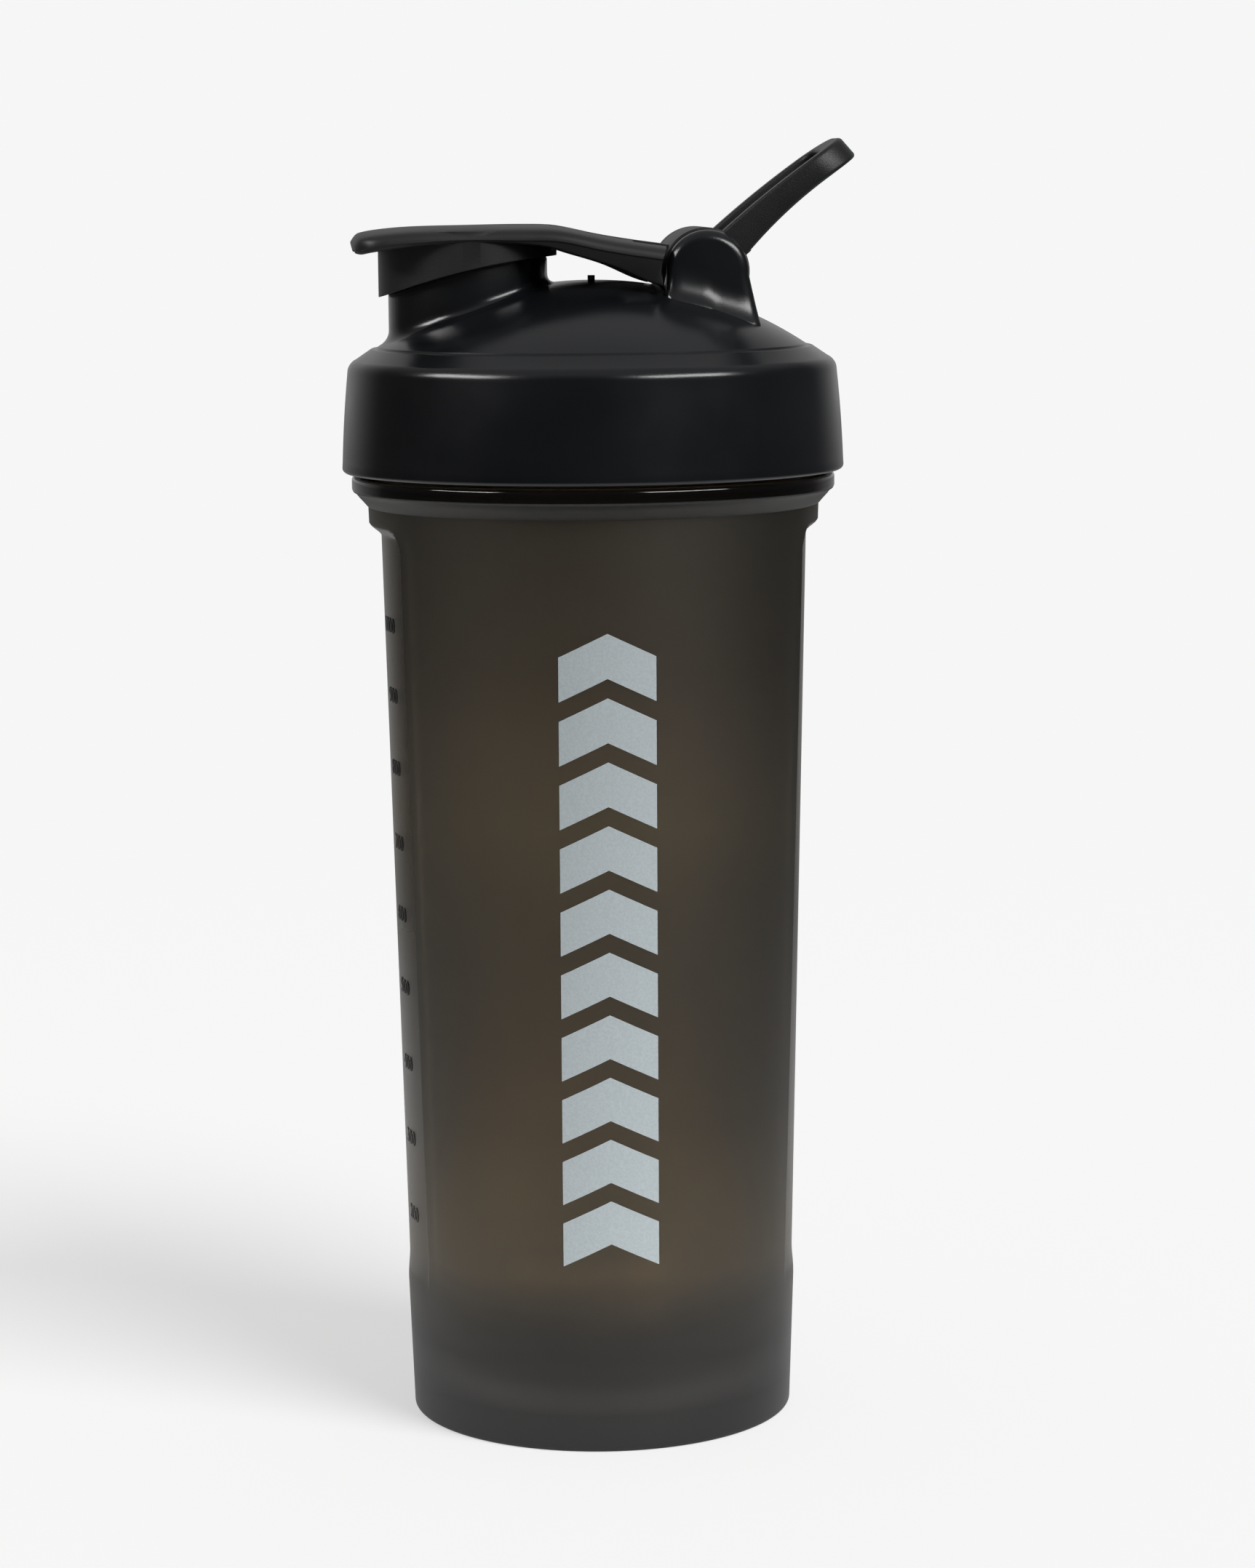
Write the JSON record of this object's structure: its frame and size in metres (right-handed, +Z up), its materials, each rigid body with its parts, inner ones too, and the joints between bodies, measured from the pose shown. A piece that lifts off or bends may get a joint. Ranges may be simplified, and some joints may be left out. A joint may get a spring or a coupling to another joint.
{
  "type": "protein shaker bottle",
  "caption": "Tapered drinking shaker with grip panels, a screw lid with a round spout, a flip cap, a folding carry loop and a loose wire whisk ball.",
  "frame": {"origin": "centre of the cup's foot ring, on the surface it stands on", "axes": "+Z up along the cup's axis; the spout is on the -X side, the hinge on the +X side, and the hinge axis runs along Y"},
  "size_m": [0.1127, 0.11, 0.2824],
  "materials": {
    "cup_plastic": "frosted translucent smoke-grey moulded plastic",
    "lid_plastic": "satin black moulded plastic",
    "cap_plastic": "matte black moulded plastic",
    "loop_plastic": "fine-textured black moulded plastic",
    "pin_plastic": "smooth black moulded plastic",
    "seal_silicone": "soft black silicone",
    "ball_wire": "bright drawn stainless wire"
  },
  "bodies": {
    "cup_body": {"cup": "cup_plastic"},
    "seal_body": {"lid_seal": "seal_silicone"},
    "lid_body": {"lid": "lid_plastic", "hinge_pin": "pin_plastic"},
    "cap_body": {"flip_cap": "cap_plastic"},
    "loop_body": {"carry_loop": "loop_plastic"},
    "ball_body": {"whisk_ball": "ball_wire"}
  },
  "joints": [
    {"name": "lid_lift", "type": "slide", "parent": "cup_body", "child": "seal_body", "axis": [0, 0, 1], "range_m": [0, 0.02]},
    {"name": "lid_turn", "type": "hinge", "parent": "seal_body", "child": "lid_body", "pos_m": [0, 0, 0.2301], "axis": [0, 0, 1], "range_deg": [0, 720]},
    {"name": "cap_flip", "type": "hinge", "parent": "lid_body", "child": "cap_body", "pos_m": [0.0239, 0, 0.25375], "axis": [0, 1, 0], "range_deg": [0, 95]},
    {"name": "loop_swing", "type": "hinge", "parent": "lid_body", "child": "loop_body", "pos_m": [0.0239, 0, 0.25375], "axis": [0, 1, 0], "range_deg": [0, 62]},
    {"name": "ball_travel", "type": "slide", "parent": "cup_body", "child": "ball_body", "axis": [0, 0, 1], "range_m": [0, 0.12]}
  ],
  "couplings": [
    {"joint": "lid_lift", "follows": "lid_turn", "m_per_rad": 0.0015915}
  ]
}
